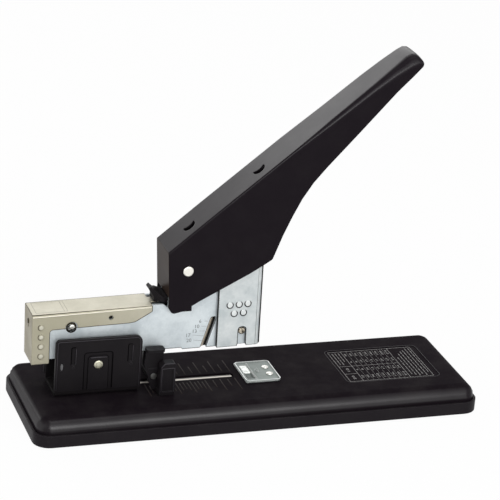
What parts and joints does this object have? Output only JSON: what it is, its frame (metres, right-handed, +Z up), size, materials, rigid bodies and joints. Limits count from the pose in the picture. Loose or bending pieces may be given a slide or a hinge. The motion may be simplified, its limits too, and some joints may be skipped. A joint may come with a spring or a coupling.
{
  "type": "heavy-duty desk stapler",
  "caption": "Heavy-duty desk stapler: long weighted base with anvil and sliding paper guide, hinged head with top-closing magazine and a long lever handle.",
  "frame": {"origin": "middle of the base on the table plane, under the rubber feet", "axes": "+X along the base towards the stapling end and the handle's grip, +Y away from the viewer's side (the side with the guide's lock lever is -Y), +Z up"},
  "size_m": [0.295, 0.093, 0.2342],
  "materials": {
    "black_plastic": "moulded, fine grain, satin",
    "black_paint": "black stove enamel on pressed steel",
    "rubber": "matt moulded",
    "steel": "plain bright steel",
    "dark_steel": "oiled hardened steel",
    "zinc": "zinc-plated steel sheet, faint blue passivation",
    "nickel": "satin nickel-plated steel sheet, warm tone",
    "bright_pin": "bright plated pin"
  },
  "bodies": {
    "base": {"base_tray": "black_plastic", "base_shell": "black_paint", "foot_left_near": "rubber", "foot_right_near": "rubber", "foot_left_far": "rubber", "foot_right_far": "rubber", "tray_screw_left_near": "steel", "tray_screw_right_near": "steel", "tray_screw_left_far": "steel", "tray_screw_right_far": "steel", "guide_rail": "steel", "anvil_plate": "zinc", "anvil_block": "steel", "anvil_rivet_near": "bright_pin", "anvil_rivet_far": "bright_pin", "hinge_bracket": "black_paint", "hinge_cover_near": "black_plastic", "hinge_cover_far": "black_plastic", "hinge_pin": "bright_pin", "bracket_rivet_rear": "steel", "bracket_rivet_front": "steel", "lift_spring": "steel"},
    "head": {"head_frame": "zinc", "front_housing": "zinc", "magazine_rail": "zinc", "staple_strip": "steel", "housing_stud_near": "steel", "housing_stud_far": "steel", "cover_catch_near": "steel", "cover_catch_far": "steel", "latch_pin": "bright_pin", "pivot_bush_near": "black_plastic", "pivot_bush_far": "black_plastic", "handle_spring": "steel"},
    "cover": {"magazine_cover": "nickel", "pusher_rod": "steel", "pusher_spring": "steel"},
    "staple_pusher": {"pusher": "black_plastic"},
    "latch": {"release_latch": "black_plastic", "latch_spring": "steel"},
    "handle": {"handle_shell": "black_paint", "drive_lever": "dark_steel", "pivot_pin": "bright_pin", "tie_pin": "dark_steel"},
    "driver": {"driver_block": "dark_steel", "driver_blade": "steel", "blade_rivet": "steel"},
    "guide": {"guide_slider": "black_plastic", "guide_pin": "bright_pin"},
    "guide_lock": {"guide_lock_lever": "black_plastic"}
  },
  "joints": [
    {"name": "head_hinge", "type": "hinge", "parent": "base", "child": "head", "pos_m": [-0.1017, 0, 0.0394], "axis": [0, 1, 0], "range_deg": [0, 13], "stiffness_Nm_per_rad": 6, "springref_deg": -17.19, "deforming": ["lift_spring"]},
    {"name": "handle_hinge", "type": "hinge", "parent": "head", "child": "handle", "pos_m": [-0.04693, 0, 0.09856], "axis": [0, 1, 0], "range_deg": [0, 26], "stiffness_Nm_per_rad": 2, "springref_deg": -22.92, "deforming": ["handle_spring"]},
    {"name": "driver_slide", "type": "slide", "parent": "head", "child": "driver", "axis": [0.0209, 0, -0.9998], "range_m": [0, 0.0196]},
    {"name": "cover_slide", "type": "slide", "parent": "head", "child": "cover", "axis": [-0.9998, 0, -0.0209], "range_m": [0, 0.056]},
    {"name": "pusher_slide", "type": "slide", "parent": "cover", "child": "staple_pusher", "axis": [-0.9998, 0, -0.0209], "range_m": [0, 0.03], "stiffness_N_per_m": 40, "springref_m": -0.05},
    {"name": "latch_hinge", "type": "hinge", "parent": "head", "child": "latch", "pos_m": [-0.05253, 0, 0.07944], "axis": [0, 1, 0], "range_deg": [0, 8], "stiffness_Nm_per_rad": 0.05, "springref_deg": -11.46},
    {"name": "guide_slide", "type": "slide", "parent": "base", "child": "guide", "axis": [1, 0, 0], "range_m": [-0.0015, 0.045]},
    {"name": "guide_lock_hinge", "type": "hinge", "parent": "guide", "child": "guide_lock", "pos_m": [-0.0656, 0, 0.029], "axis": [0, 1, 0], "range_deg": [0, 12], "stiffness_Nm_per_rad": 0.05, "springref_deg": -11.46}
  ],
  "couplings": [
    {"joint": "driver_slide", "follows": "handle_hinge", "m_per_rad": 0.042828}
  ]
}
